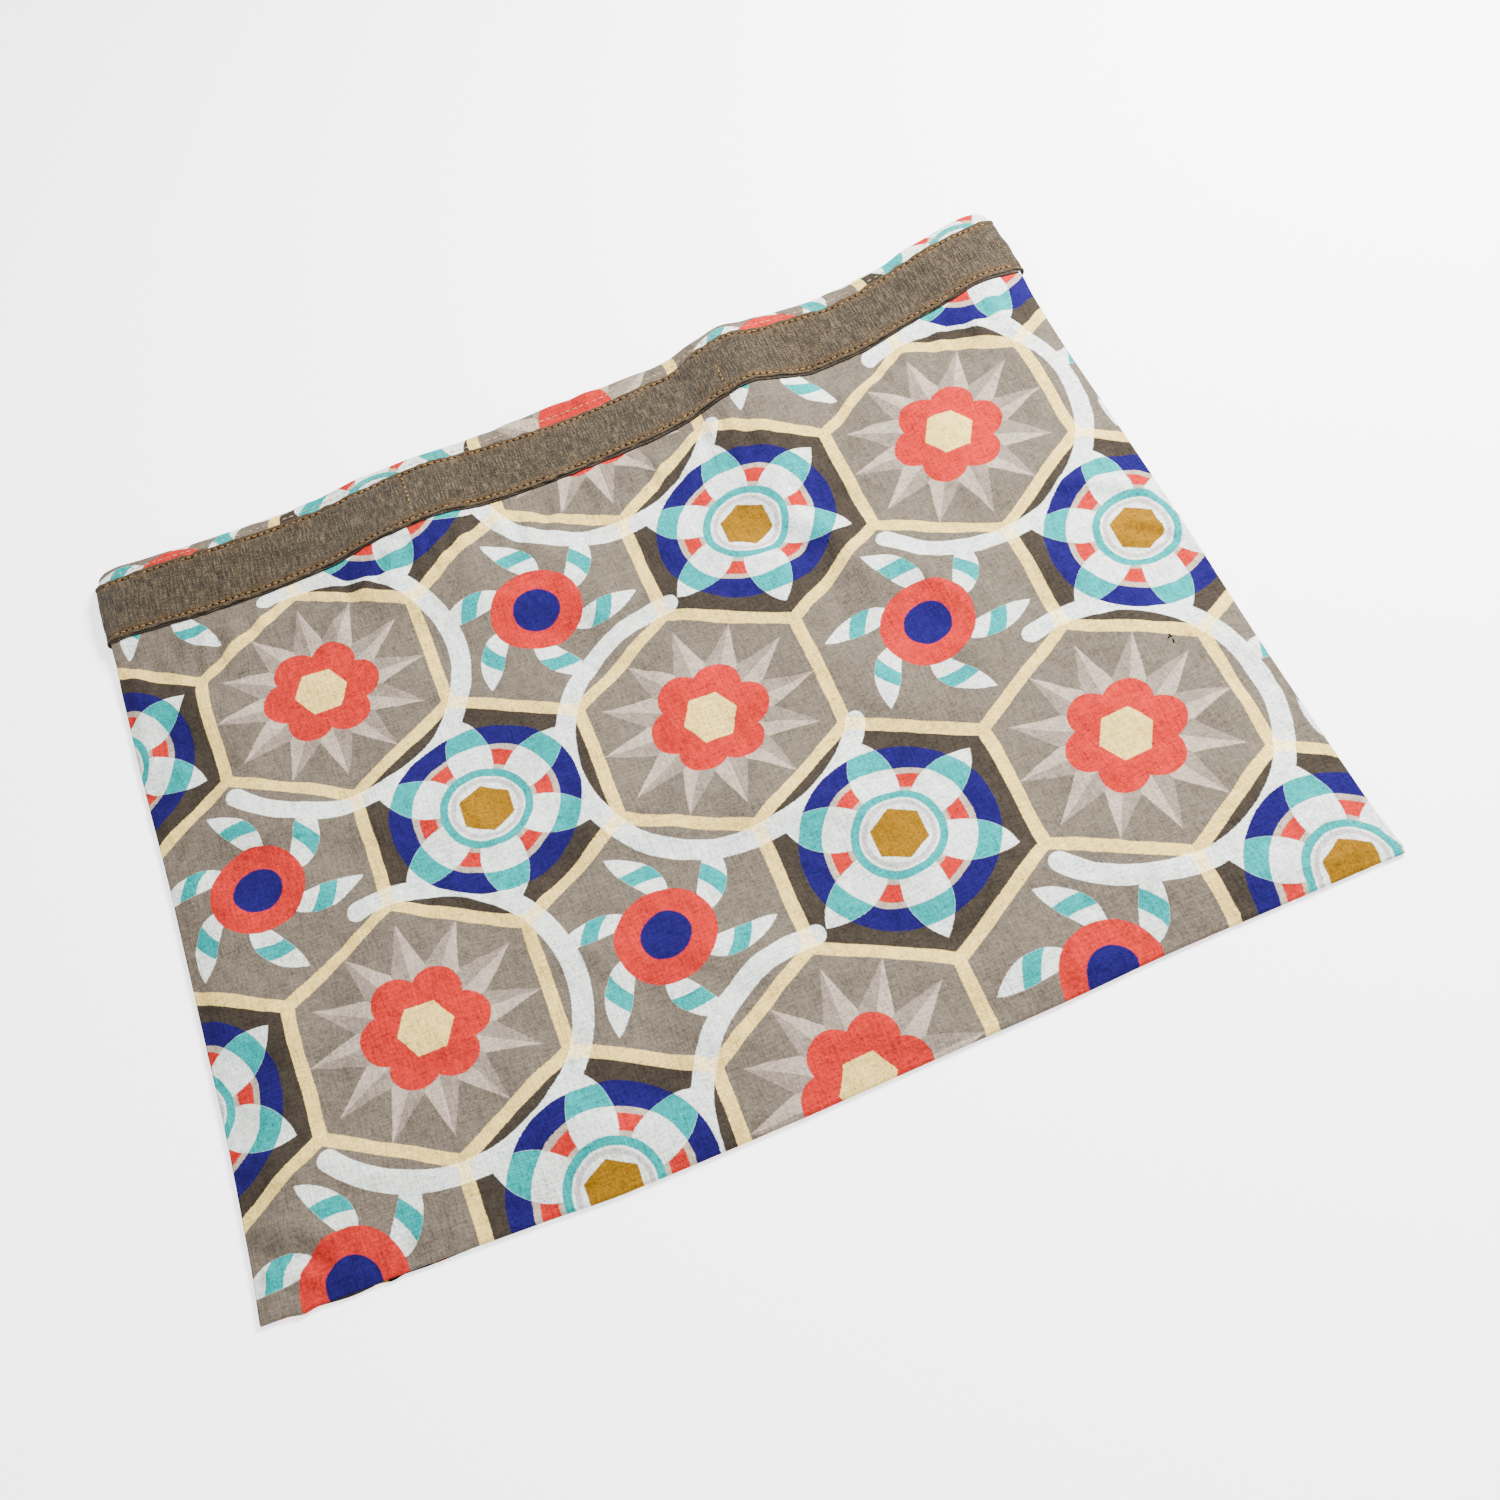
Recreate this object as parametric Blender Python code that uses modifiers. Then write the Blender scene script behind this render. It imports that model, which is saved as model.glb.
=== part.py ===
"""A cloth shopping bag that lies flat on its back, with its mouth towards +Y.

Two panels of print cloth are sewn together along the sides and the bottom. A doubled chambray band runs round
the mouth as one closed ring, a little below the rim. X runs across the bag and Z is up from the surface that
it lies on, at Z = 0. The origin is under the middle of the bag.

Places on a panel are fractions: a goes from the left side to the right, and b from the bottom to the mouth.
"""
from collections import namedtuple
import math

import bmesh
import bpy
from mathutils import Vector

MM = 0.001

# Driving sizes
WIDTH = 421 * MM
LENGTH = 340 * MM
CLOTH = 1.0 * MM
STRIP = 1.2 * MM
GAP = 0.3 * MM
RIM_HEIGHT = 8 * MM
BAND_HEIGHT = 31 * MM
BAND_FOOT = RIM_HEIGHT + BAND_HEIGHT

# The front panel swells from its seams to this height under it
HOLLOW_TOP = 7.0 * MM
SWELL_RUN = 40 * MM

# The back panel steps up where it lies on the band
STEP_HEIGHT = STRIP + GAP
STEP_START = BAND_FOOT + 2 * MM
STEP_END = BAND_FOOT + 12 * MM

# Below the band its waves and its drift die away over these lengths
WAVE_RUN = 72 * MM
DRIFT_RUN = 12 * MM

# The two ends of the mouth stand off the surface
LEFT_LIFT = 3.0 * MM
RIGHT_LIFT = 6.0 * MM
LIFT_INWARD = 70 * MM
LIFT_DOWNWARD = 95 * MM

MOUTH_CORNER = 5.0 * MM
BOTTOM_LEFT_CORNER = 1.2 * MM
BOTTOM_RIGHT_CORNER = 3.0 * MM

# The sides, in millimetres from the middle
Side = namedtuple("Side", "up left right")
SIDES = (
    Side(up=0.00, left=-213.0, right=209.9),
    Side(up=0.07, left=-211.5, right=208.5),
    Side(up=0.25, left=-209.8, right=208.7),
    Side(up=0.50, left=-209.8, right=210.6),
    Side(up=0.72, left=-211.0, right=210.9),
    Side(up=0.80, left=-210.9, right=210.9),
    Side(up=0.88, left=-210.0, right=211.2),
    Side(up=1.00, left=-208.9, right=211.4),
)

# The bottom of both panels and the mouth edge of the back, in millimetres from the middle
End = namedtuple("End", "across bottom back")
ENDS = (
    End(across=0.00, bottom=-166.4, back=170.8),
    End(across=0.05, bottom=-167.7, back=168.7),
    End(across=0.12, bottom=-169.1, back=166.5),
    End(across=0.24, bottom=-172.1, back=164.3),
    End(across=0.31, bottom=-174.1, back=163.9),
    End(across=0.45, bottom=-174.6, back=163.9),
    End(across=0.55, bottom=-174.2, back=164.3),
    End(across=0.61, bottom=-173.9, back=165.5),
    End(across=0.68, bottom=-173.7, back=165.5),
    End(across=0.80, bottom=-172.4, back=166.5),
    End(across=0.90, bottom=-172.6, back=169.1),
    End(across=0.96, bottom=-172.6, back=172.1),
    End(across=1.00, bottom=-172.9, back=174.5),
)

# The front's mouth. Its edge is in millimetres from the middle, rim, head and foot are its rise over the level
# at the rim and at the band's head and foot, and drift is how far the band sits towards the mouth.
Mouth = namedtuple("Mouth", "across edge rim head foot drift")
MOUTH = (
    Mouth(across=0.00, edge=170.8, rim=4.4, head=4.4, foot=3.1, drift=0.6),
    Mouth(across=0.05, edge=168.3, rim=0.9, head=2.8, foot=0.0, drift=0.1),
    Mouth(across=0.10, edge=166.0, rim=0.0, head=3.6, foot=0.0, drift=-1.1),
    Mouth(across=0.16, edge=164.0, rim=0.0, head=3.1, foot=0.0, drift=-1.1),
    Mouth(across=0.23, edge=162.2, rim=1.3, head=2.3, foot=1.6, drift=-0.3),
    Mouth(across=0.29, edge=161.2, rim=4.8, head=5.2, foot=6.8, drift=0.1),
    Mouth(across=0.35, edge=160.5, rim=4.9, head=6.4, foot=8.3, drift=0.3),
    Mouth(across=0.40, edge=160.1, rim=3.2, head=3.6, foot=3.7, drift=0.0),
    Mouth(across=0.46, edge=160.0, rim=3.5, head=1.4, foot=2.0, drift=-0.4),
    Mouth(across=0.51, edge=160.1, rim=3.5, head=0.0, foot=2.1, drift=-0.8),
    Mouth(across=0.58, edge=160.7, rim=1.7, head=0.0, foot=1.6, drift=-0.1),
    Mouth(across=0.62, edge=161.2, rim=1.2, head=0.0, foot=3.4, drift=0.0),
    Mouth(across=0.66, edge=161.7, rim=5.9, head=7.7, foot=8.3, drift=0.4),
    Mouth(across=0.69, edge=162.0, rim=8.8, head=9.8, foot=10.5, drift=0.5),
    Mouth(across=0.72, edge=162.4, rim=6.0, head=5.9, foot=6.2, drift=0.2),
    Mouth(across=0.76, edge=163.0, rim=2.7, head=2.7, foot=0.0, drift=0.2),
    Mouth(across=0.81, edge=164.1, rim=0.0, head=0.0, foot=0.0, drift=-0.1),
    Mouth(across=0.86, edge=166.1, rim=0.0, head=1.4, foot=2.2, drift=0.1),
    Mouth(across=0.91, edge=168.8, rim=2.6, head=4.8, foot=3.5, drift=0.3),
    Mouth(across=0.96, edge=171.9, rim=5.7, head=6.7, foot=8.6, drift=0.3),
    Mouth(across=1.00, edge=174.5, rim=9.0, head=8.5, foot=9.0, drift=0.2),
)

# Where the sheets have their points, in millimetres from a side, the mouth or the bottom
NEAR_SIDE = (0, 3, 8, 15, 25, 38)
NEAR_MOUTH = (0, 1.5, 3.2, 5)
BAND_ROWS = 4
BELOW_BAND = (40, 50, 64, 82, 104)
NEAR_BOTTOM = (38, 25, 15, 8, 3, 1.2, 0)
COLUMN_STEP = 11 * MM
FRONT_ROW_STEP = 28 * MM
BACK_ROW_STEP = 70 * MM

# Points nearer than this are one point where the band closes to a ring
WELD = 0.01 * MM

PRINT_COLOUR = (0.36, 0.31, 0.27, 1.0)
BAND_COLOUR = (0.18, 0.14, 0.11, 1.0)


def along(table, column, at):
    """A column of a table at a place between its rows, on a smooth curve that stays within them."""
    places = [row[0] for row in table]
    values = [getattr(row, column) for row in table]
    steps = [after - before for before, after in zip(places, places[1:])]
    rises = [(after - before) / step for before, after, step in zip(values, values[1:], steps)]
    slopes = [rises[0]]
    for before, after in zip(rises, rises[1:]):
        turns = before * after <= 0
        slopes.append(0.0 if turns else 2 * before * after / (before + after))
    slopes.append(rises[-1])
    at = min(max(at, places[0]), places[-1])
    k = max(i for i in range(len(steps)) if places[i] <= at)
    t = (at - places[k]) / steps[k]
    from_start = (1 + 2 * t) * (1 - t) ** 2 * values[k] + t * (1 - t) ** 2 * steps[k] * slopes[k]
    from_end = t ** 2 * (3 - 2 * t) * values[k + 1] - t ** 2 * (1 - t) * steps[k] * slopes[k + 1]
    return from_start + from_end


def fall(distance, reach):
    """From 1 at no distance to 0 at the reach, level at both ends."""
    t = min(max(distance / reach, 0.0), 1.0)
    return 1 - t * t * (3 - 2 * t)


def swell(distance):
    """From 0 at a seam to 1 where the cloth is level, steepest at the seam."""
    t = min(max(distance / SWELL_RUN, 0.0), 1.0)
    return 1 - (1 - t) ** 2


def corner_inset(distance, radius):
    """How far a rounded corner draws a side in, at a distance from the side's end."""
    if distance >= radius:
        return 0.0
    return radius - math.sqrt(radius ** 2 - (radius - distance) ** 2)


def place_x(a, b):
    from_mouth = (1 - b) * LENGTH
    from_bottom = b * LENGTH
    at_mouth = corner_inset(from_mouth, MOUTH_CORNER)
    left = along(SIDES, "left", b) * MM + at_mouth + corner_inset(from_bottom, BOTTOM_LEFT_CORNER)
    right = along(SIDES, "right", b) * MM - at_mouth - corner_inset(from_bottom, BOTTOM_RIGHT_CORNER)
    return left + a * (right - left)


def band_drift(a, b):
    """How far the front sits towards the mouth: nothing at the rim, the table's drift over the band."""
    from_mouth = (1 - b) * LENGTH
    over_rim = min(from_mouth / RIM_HEIGHT, 1.0)
    return along(MOUTH, "drift", a) * MM * over_rim * fall(from_mouth - BAND_FOOT, DRIFT_RUN)


def place_y(a, b, mouth):
    bottom = along(ENDS, "bottom", a) * MM
    return bottom + b * (mouth - bottom)


def corner_lift(a, b):
    """How far the cloth stands off the surface near the two ends of the mouth."""
    left = LEFT_LIFT * fall(a * WIDTH, LIFT_INWARD)
    right = RIGHT_LIFT * fall((1 - a) * WIDTH, LIFT_INWARD)
    return (left + right) * fall((1 - b) * LENGTH, LIFT_DOWNWARD)


def back_underside(a, b):
    from_mouth = (1 - b) * LENGTH
    step = STEP_HEIGHT * fall(from_mouth - STEP_START, STEP_END - STEP_START)
    return step + corner_lift(a, b)


def wave(a, b):
    """The front's rise over its level, from the rim over the band's head to its foot, dying away below."""
    from_mouth = (1 - b) * LENGTH
    rim, head, foot = (along(MOUTH, column, a) * MM for column in ("rim", "head", "foot"))
    if from_mouth < RIM_HEIGHT:
        return rim + (head - rim) * from_mouth / RIM_HEIGHT
    towards_foot = min((from_mouth - RIM_HEIGHT) / BAND_HEIGHT, 1.0)
    return (head + (foot - head) * towards_foot) * fall(from_mouth - BAND_FOOT, WAVE_RUN)


def front_underside(a, b):
    seam = back_underside(a, b) + CLOTH + GAP
    inside = swell(a * WIDTH) * swell((1 - a) * WIDTH) * swell(b * LENGTH)
    return seam + inside * (HOLLOW_TOP + wave(a, b) - seam)


def back_point(a, b):
    mouth = along(ENDS, "back", a) * MM
    return Vector((place_x(a, b), place_y(a, b, mouth), back_underside(a, b)))


def front_point(a, b):
    mouth = along(MOUTH, "edge", a) * MM
    return Vector((place_x(a, b), place_y(a, b, mouth) + band_drift(a, b), front_underside(a, b)))


def evenly(start, end, step):
    """Places from start to end, both left out, at about the step."""
    count = max(round((end - start) / step), 1)
    return [start + (end - start) * i / count for i in range(1, count)]


def columns():
    near = [d * MM / WIDTH for d in NEAR_SIDE]
    between = evenly(near[-1], 1 - near[-1], COLUMN_STEP / WIDTH)
    return near + between + [1 - a for a in reversed(near)]


def band_rows():
    """The band's rows, from its foot up to its head."""
    return [1 - (BAND_FOOT - BAND_HEIGHT * i / BAND_ROWS) / LENGTH for i in range(BAND_ROWS + 1)]


def rows(step):
    below = [1 - d * MM / LENGTH for d in reversed(BELOW_BAND)]
    near_bottom = [d * MM / LENGTH for d in reversed(NEAR_BOTTOM)]
    between = evenly(near_bottom[-1], below[0], step / LENGTH)
    rim = [1 - d * MM / LENGTH for d in reversed(NEAR_MOUTH)]
    return near_bottom + between + below + band_rows() + rim


def cloth_material(name, colour):
    material = bpy.data.materials.new(name)
    material.use_nodes = True
    shader = material.node_tree.nodes["Principled BSDF"]
    shader.inputs["Base Color"].default_value = colour
    shader.inputs["Roughness"].default_value = 0.9
    shader.inputs["Metallic"].default_value = 0.0
    return material


def sheet(name, points, thickness, material, closed=False):
    """A sheet through a table of points, with its thickness on the side that its faces point to."""
    across = len(points) - 1
    up = len(points[0]) - 1
    mesh = bpy.data.meshes.new(name)
    grid = bmesh.new()
    bmesh.ops.create_grid(grid, x_segments=across, y_segments=up, size=1.0)
    for vertex in grid.verts:
        i = round((vertex.co.x + 1) / 2 * across)
        j = round((vertex.co.y + 1) / 2 * up)
        vertex.co = points[i][j]
    if closed:
        bmesh.ops.remove_doubles(grid, verts=grid.verts, dist=WELD)
    grid.to_mesh(mesh)
    grid.free()
    mesh.materials.append(material)
    mesh.shade_smooth()
    piece = bpy.data.objects.new(name, mesh)
    solidify = piece.modifiers.new("Thickness", "SOLIDIFY")
    solidify.thickness = thickness
    solidify.offset = 1.0
    return piece


def back_panel(material):
    points = [[back_point(a, b) for b in rows(BACK_ROW_STEP)] for a in columns()]
    return sheet("back_panel", points, CLOTH, material)


def front_panel(material):
    points = [[front_point(a, b) for b in rows(FRONT_ROW_STEP)] for a in columns()]
    return sheet("front_panel", points, CLOTH, material)


def round_the_side(a, b, outward):
    """The band's inner points round one side, from the top of the front panel down to under the back panel."""
    top = front_point(a, b) + Vector((0, 0, CLOTH))
    under = back_point(a, b)
    clear = GAP * math.sqrt(2)
    return [
        top + Vector((0, 0, clear)),
        top + Vector((outward * clear, 0, 0)),
        under + Vector((outward * clear, 0, clear / 2)),
        under - Vector((0, 0, GAP)),
    ]


def band_section(b):
    """The band's inner points once round the bag: over the front, round the right side, back and round the left."""
    inner = columns()[1:-1]
    over = [front_point(a, b) + Vector((0, 0, CLOTH + GAP)) for a in inner]
    beneath = [back_point(a, b) - Vector((0, 0, GAP)) for a in reversed(inner)]
    right = round_the_side(1.0, b, 1)
    left = list(reversed(round_the_side(0.0, b, -1)))
    section = over + right + beneath + left
    return section + section[:1]


def band(material):
    sections = [band_section(b) for b in band_rows()]
    points = [list(station) for station in zip(*sections)]
    return sheet("band", points, STRIP, material, closed=True)


def main():
    for old in list(bpy.data.objects):
        bpy.data.objects.remove(old, do_unlink=True)
    print_cloth = cloth_material("print_cloth", PRINT_COLOUR)
    chambray = cloth_material("chambray", BAND_COLOUR)
    bag = bpy.data.collections.new("shopping_bag")
    bpy.context.scene.collection.children.link(bag)
    for piece in (back_panel(print_cloth), front_panel(print_cloth), band(chambray)):
        bag.objects.link(piece)


main()
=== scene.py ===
"""The looks of a printed cloth shopping bag that lies on its back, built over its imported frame.

The bag's mouth is towards +Y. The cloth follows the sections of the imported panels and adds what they
leave out: rolled edges, the hem at the mouth, creases, the band's second layer and the sewing.

Lengths are in millimetres, and become metres only where a mesh is made. A place on a panel is a from its
left side to its right and b from its bottom to its mouth, as fractions, or s from the left side and d from
the mouth, in millimetres along the cloth.
"""

import math
from collections import namedtuple

import bpy
import numpy as np
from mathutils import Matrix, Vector


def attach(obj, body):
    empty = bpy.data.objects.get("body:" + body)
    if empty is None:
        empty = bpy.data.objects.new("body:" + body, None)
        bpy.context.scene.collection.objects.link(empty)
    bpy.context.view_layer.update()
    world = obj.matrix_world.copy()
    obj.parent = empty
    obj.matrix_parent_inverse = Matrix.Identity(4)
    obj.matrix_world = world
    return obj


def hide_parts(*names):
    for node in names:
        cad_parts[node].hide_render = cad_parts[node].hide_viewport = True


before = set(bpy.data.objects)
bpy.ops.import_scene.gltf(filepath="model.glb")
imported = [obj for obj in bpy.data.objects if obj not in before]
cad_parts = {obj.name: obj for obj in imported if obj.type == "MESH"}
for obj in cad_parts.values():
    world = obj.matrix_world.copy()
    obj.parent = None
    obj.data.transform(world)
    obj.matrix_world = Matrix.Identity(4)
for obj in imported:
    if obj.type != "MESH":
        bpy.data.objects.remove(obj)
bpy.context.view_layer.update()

MM = 0.001

# The bag's own sizes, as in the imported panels
WIDTH = 421
LENGTH = 340
CLOTH = 1.0
STRIP = 1.2
GAP = 0.3
RIM_HEIGHT = 8
BAND_HEIGHT = 31
BAND_FOOT = RIM_HEIGHT + BAND_HEIGHT
HOLLOW_TOP = 7.0
SWELL_RUN = 40
STEP_HEIGHT = STRIP + GAP
STEP_START = BAND_FOOT + 2
STEP_END = BAND_FOOT + 12
WAVE_RUN = 72
DRIFT_RUN = 12
LEFT_LIFT = 3.0
RIGHT_LIFT = 6.0
LIFT_INWARD = 70
LIFT_DOWNWARD = 95
MOUTH_CORNER = 5.0
BOTTOM_LEFT_CORNER = 1.2
BOTTOM_RIGHT_CORNER = 3.0

# The cloth's grids, and the unit of its flat map
GRID = 1.6
BACK_GRID = 4
UNDER_BAND_GRID = 3.5
RIM_GRID = 1.25
HEM_GRID = 2.5
UNDER_BAND_START = BAND_FOOT + 4
MAP_UNIT = 100.0

# The panels' rolled edges and the hem that is turned in at the mouth
ROLL = 1.1
ROLL_TURNS = np.radians([90, 68, 45, 22])
SEAM_LEVEL = 1.15
RIM_THICKNESS = 1.0
HEM_TURNS = np.radians([30, 60, 90, 120, 150, 180])
HEM_DRAW = 0.4
HEM_START = 2
HEM_DEPTH = 12

# A small curl of the front's bottom edge near its left corner
CURL_PLACE = 15
CURL_WIDE = 3.5
CURL_REACH = 7
CURL_OUT = 1.1

# Where the back panel shows past the front's bottom edge, and how far up it is drawn out for that
Show = namedtuple("Show", "place reach by")
BACK_SHOWS = (
    Show(place=32, reach=14, by=0.9),
    Show(place=46, reach=5, by=1.0),
    Show(place=60, reach=16, by=0.45),
)
BACK_SHOWS_UP = 12

# Where the front's unevenness begins and how it fades
BODY_START = BAND_FOOT + 2
BODY_FADE = 9
EDGE_START = 1
EDGE_FADE = 6
SEAM_FADE = 3
BAND_RIPPLE_MIDDLE = BAND_FOOT + 12
BAND_RIPPLE_REACH = 26
SIDE_RIPPLE_REACH = 16
BOTTOM_RIPPLE_REACH = 14

# Seeded unevenness: its depth, the length of its waves, its seed, and how often its waves come across the
# bag and along it
WAVES = 22
WAVELENGTH_SPREAD = (0.7, 1.5)
Uneven = namedtuple("Uneven", "depth wavelength seed x_pace y_pace", defaults=(1, 1))
CRUMPLE = (
    Uneven(0.8, 62, seed=11),
    Uneven(0.5, 27, seed=12),
    Uneven(0.13, 9, seed=13),
)
BAND_RIPPLES = Uneven(0.45, 24, seed=14, x_pace=2.4, y_pace=0.7)
SIDE_RIPPLES = Uneven(0.28, 16, seed=15, x_pace=0.6, y_pace=2.0)
BOTTOM_RIPPLES = Uneven(0.28, 18, seed=16, x_pace=2.0, y_pace=0.6)
RIM_RIPPLES = Uneven(0.18, 14, seed=17)
EDGE_WAVES = Uneven(0.12, 5, seed=21)
FACE_WAVES = Uneven(0.16, 11, seed=22)
FOLD_WAVES = Uneven(0.16, 7, seed=23)
UNDER_WAVES = (Uneven(0.35, 60, seed=31), Uneven(0.12, 9, seed=32))

# The band's ring: where it starts from each side, its two grids, and its turn round a side
RING_START = 1.3
RING_GRID = 0.7
RING_BACK_GRID = 2.8
RING_SIDE_GAP = GAP * 1.4
RING_SIDE_TURNS = np.radians(np.linspace(72, -78, 11))
ON_FRONT, ON_SIDE, ON_BACK = range(3)

# The band's section and its two sewn rows, from its foot
FOLD_TURNS = np.radians([30, 60, 90, 120, 150])
EDGE_PLACES = [STRIP / 2, 1.1, 1.6, 2.1, 2.6, 3.2, 4.2]
FACE_START = 6.5
FACE_GRID = 2.0
STITCH = 2.9
LOWER_ROW = 2.1
UPPER_ROW = BAND_HEIGHT - LOWER_ROW
ROW_WIDE = 0.75
ROW_DENT = 0.2
HOLE_DENT = 0.22
BACK_DENT = 0.25
EDGE_WIDE = 1.2
FOLD_REACH = 0.9
THINNEST = 0.25
DENTED_FROM = STRIP * 0.4

# The band's second layer: its section as (from the band's foot, height), and its own stretch of the map
UNDER_GRID = 1.4
UNDER_PROFILE = (
    (6.0, 0.05), (2.0, 0.05), (-0.3, 0.0), (-0.8, 0.0), (-1.0, 0.2), (-0.8, 0.42), (-0.2, 0.5), (2.0, 0.6),
)
UNDER_LIFT = 0.12
UNDER_SHOWS = 0.95
UNDER_SHOWS_RANGE = (0.15, 1.6)
UNDER_MAP = 40

# Where the rim's row and the two upright rows of the band lie
RIM_ROW = 4.6
UPRIGHT_X = 71.0

# Rows of stitches: the unsewn end, the step, the lift off the panel, half the thread's thickness, the bare
# cloth at a needle hole, half the hole's size, and the stitches' sideways sway
Seam = namedtuple("Seam", "end step lift thread bare hole sway")
BAND_TOP = GAP + STRIP
BAND_SEAM = Seam(end=3.0, step=STITCH, lift=BAND_TOP - 0.16, thread=0.33, bare=0.42, hole=0.5, sway=0.24)
UPRIGHT_SEAM = Seam(
    end=LOWER_ROW + 1.5, step=STITCH * 0.9, lift=BAND_TOP - 0.05, thread=0.34, bare=0.38, hole=0.38, sway=0.2,
)
RIM_SEAM = Seam(end=6.0, step=3.1, lift=0.02, thread=0.24, bare=0.4, hole=0.0, sway=0.0)
BACK_SEAM = Seam(end=4.0, step=STITCH, lift=BAND_TOP - 0.42, thread=0.24, bare=0.3, hole=0.0, sway=0.0)
BARE_SPREAD = (0.5, 1.7)
LEAN_SPREAD = (0.3, 1.5)

# A stitch as (share of its length, share of its thickness, height)
STITCH_SHAPE = ((0.0, 0.4, -0.32), (0.1, 0.85, -0.06), (0.5, 1.0, 0.1), (0.9, 0.85, -0.06), (1.0, 0.4, -0.32))
STITCH_SIDES = 6
STITCH_FLATTEN = 0.8
HOLE_SIDES = 7
HOLE_LIFT = 0.03

# How far apart the points are that the cloth's slope is taken from
SLOPE_RUN = 2

# The snippet of thread on the front: the two ends of each of its bits in the plan, and its thickness
Bit = namedtuple("Bit", "x1 y1 x2 y2")
SNIPPET = (
    Bit(178.2, -58.2, 178.9, -60.0),
    Bit(178.9, -60.6, 178.4, -62.6),
    Bit(178.2, -59.4, 177.2, -60.0),
)
SNIPPET_B = 0.33
SNIPPET_LIFT = 0.25
SNIPPET_THREAD = 0.3

Side = namedtuple("Side", "up left right")
SIDES = [Side(*row) for row in (
    # Up from the bottom, left, right
    (0.00, -213.0, 209.9),
    (0.07, -211.5, 208.5),
    (0.25, -209.8, 208.7),
    (0.50, -209.8, 210.6),
    (0.72, -211.0, 210.9),
    (0.80, -210.9, 210.9),
    (0.88, -210.0, 211.2),
    (1.00, -208.9, 211.4),
)]

End = namedtuple("End", "across bottom back")
ENDS = [End(*row) for row in (
    # Across from the left, bottom, back's mouth
    (0.00, -166.4, 170.8),
    (0.05, -167.7, 168.7),
    (0.12, -169.1, 166.5),
    (0.24, -172.1, 164.3),
    (0.31, -174.1, 163.9),
    (0.45, -174.6, 163.9),
    (0.55, -174.2, 164.3),
    (0.61, -173.9, 165.5),
    (0.68, -173.7, 165.5),
    (0.80, -172.4, 166.5),
    (0.90, -172.6, 169.1),
    (0.96, -172.6, 172.1),
    (1.00, -172.9, 174.5),
)]

Mouth = namedtuple("Mouth", "across edge rim head foot drift")
MOUTH = [Mouth(*row) for row in (
    # Across from the left, edge, rim, head, foot, drift
    (0.00, 170.8, 4.4, 4.4, 3.1, 0.6),
    (0.05, 168.3, 0.9, 2.8, 0.0, 0.1),
    (0.10, 166.0, 0.0, 3.6, 0.0, -1.1),
    (0.16, 164.0, 0.0, 3.1, 0.0, -1.1),
    (0.23, 162.2, 1.3, 2.3, 1.6, -0.3),
    (0.29, 161.2, 4.8, 5.2, 6.8, 0.1),
    (0.35, 160.5, 4.9, 6.4, 8.3, 0.3),
    (0.40, 160.1, 3.2, 3.6, 3.7, 0.0),
    (0.46, 160.0, 3.5, 1.4, 2.0, -0.4),
    (0.51, 160.1, 3.5, 0.0, 2.1, -0.8),
    (0.58, 160.7, 1.7, 0.0, 1.6, -0.1),
    (0.62, 161.2, 1.2, 0.0, 3.4, 0.0),
    (0.66, 161.7, 5.9, 7.7, 8.3, 0.4),
    (0.69, 162.0, 8.8, 9.8, 10.5, 0.5),
    (0.72, 162.4, 6.0, 5.9, 6.2, 0.2),
    (0.76, 163.0, 2.7, 2.7, 0.0, 0.2),
    (0.81, 164.1, 0.0, 0.0, 0.0, -0.1),
    (0.86, 166.1, 0.0, 1.4, 2.2, 0.1),
    (0.91, 168.8, 2.6, 4.8, 3.5, 0.3),
    (0.96, 171.9, 5.7, 6.7, 8.6, 0.3),
    (1.00, 174.5, 9.0, 8.5, 9.0, 0.2),
)]

# Creases of the front between two points of the plan, each a soft ridge or, where it is below 0, a valley,
# with the bend of its middle and the run of its ends as parts of its width
CREASE_BEND = 0.5
CREASE_END = 1.2
Crease = namedtuple("Crease", "x1 y1 x2 y2 wide rise")
CREASES = [Crease(*row) for row in (
    # From x1, y1 to x2, y2, how wide, how high
    (72, 62, 88, 12, 7.0, 2.7),
    (58, 60, 70, 14, 7.0, -1.6),
    (40, 52, 66, 34, 6.0, 1.5),
    (100, 20, 112, -6, 6.0, 1.4),
    (-204, 100, -160, 60, 8.0, 2.0),
    (-206, 80, -172, 42, 6.0, -1.4),
    (-150, 112, -118, 92, 7.0, 1.4),
    (-92, -8, -84, -34, 1.4, 0.7),
    (190, -6, 206, -17, 2.0, 1.5),
    (192, -12, 207, -23, 1.8, -1.4),
    (186, -16, 205, -30, 2.4, 1.2),
    (176, 22, 204, 4, 4.0, 2.0),
    (184, 40, 205, 26, 4.5, -1.2),
    (186, 128, 194, 104, 3.0, 1.4),
    (194, 128, 202, 108, 3.0, -1.0),
    (172, 126, 178, 112, 2.6, 0.8),
    (-206, -136, -184, -148, 3.2, 1.5),
    (-208, -144, -186, -158, 3.0, -1.4),
    (-205, -152, -178, -166, 3.0, 1.2),
    (-190, -128, -150, -138, 7.0, 1.5),
    (-62, -118, -40, -134, 3.4, 0.8),
    (-48, -142, -30, -140, 3.0, 1.0),
    (-36, -110, -22, -128, 2.6, -0.8),
    (84, -128, 112, -112, 9.0, -1.3),
    (6, -60, 44, -84, 9.0, 1.2),
    (120, 88, 146, 70, 8.0, 1.4),
    (-30, 84, -12, 48, 8.0, 1.2),
)]


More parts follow.
